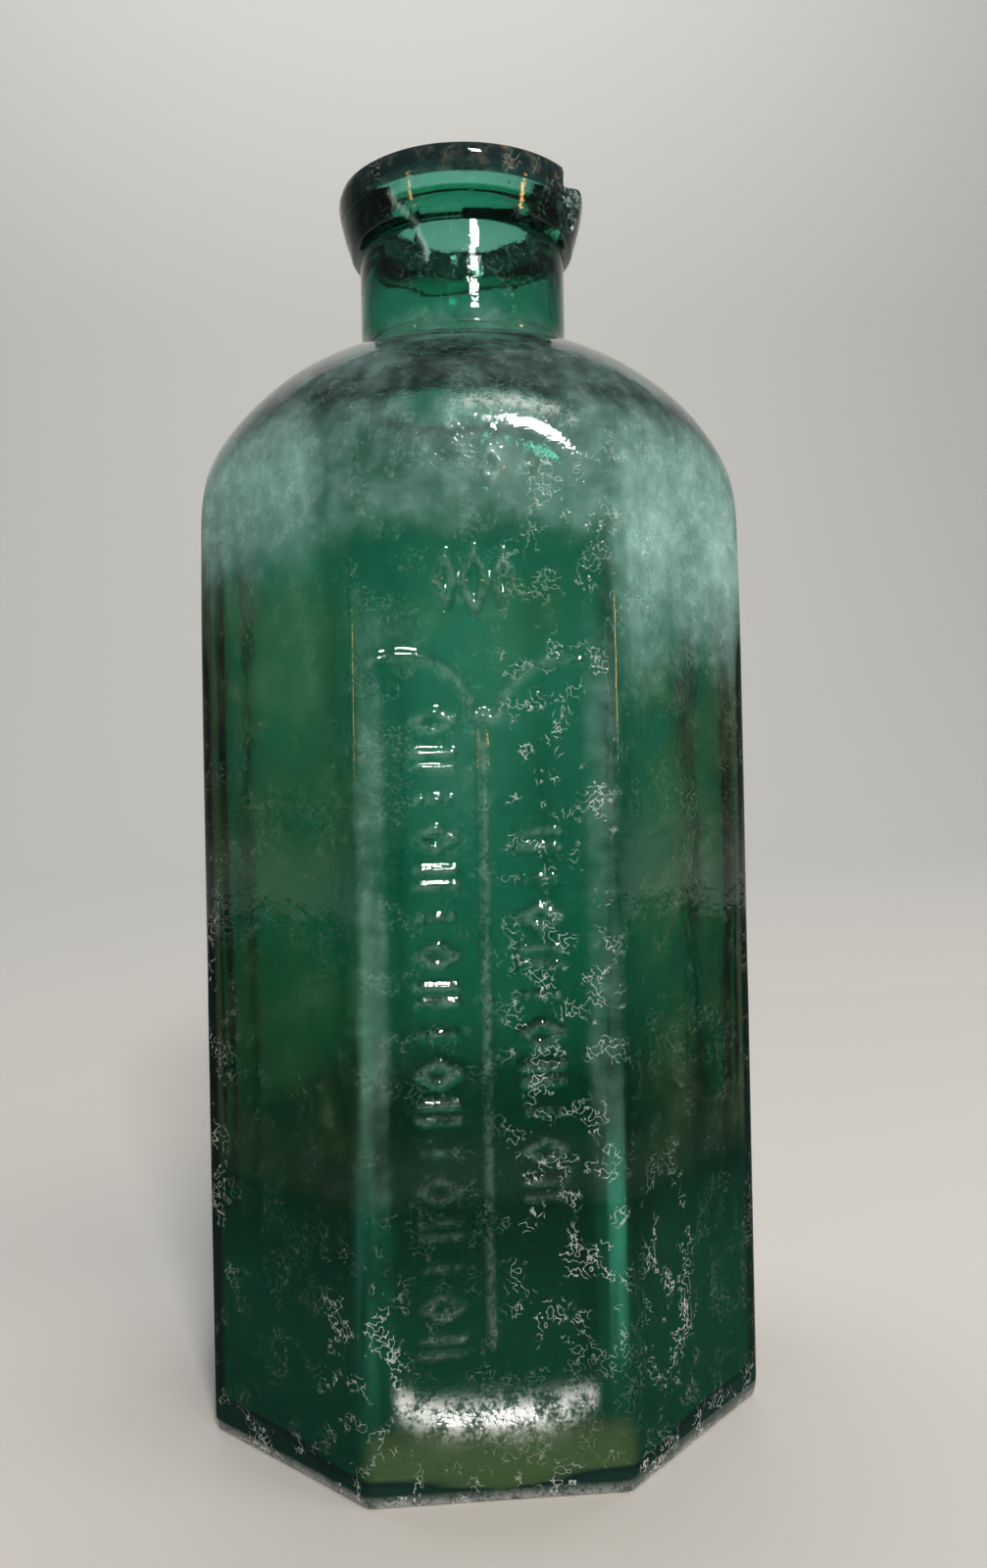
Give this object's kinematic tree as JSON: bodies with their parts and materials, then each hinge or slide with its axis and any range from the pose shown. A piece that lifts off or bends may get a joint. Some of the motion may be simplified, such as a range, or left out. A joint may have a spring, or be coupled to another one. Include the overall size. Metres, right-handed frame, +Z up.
{
  "type": "medicine bottle",
  "caption": "Octagonal hand-blown glass bottle with arched panels, domed shoulder, short neck and a chipped tapered collar, open at the mouth.",
  "frame": {"origin": "centre of the foot, on the surface that the bottle stands on", "axes": "+Z up along the bottle's axis to the mouth, -Y out of the front panel with the raised rib, +X to the right seen from the front"},
  "size_m": [0.065, 0.064, 0.149],
  "materials": {
    "body_glass": "deep aqua-green bubbled glass with whitish haze",
    "collar_glass": "thick dark aqua-green glass, broken on one side"
  },
  "bodies": {
    "root": {"bottle_body": "body_glass", "lip_collar": "collar_glass"}
  },
  "joints": []
}
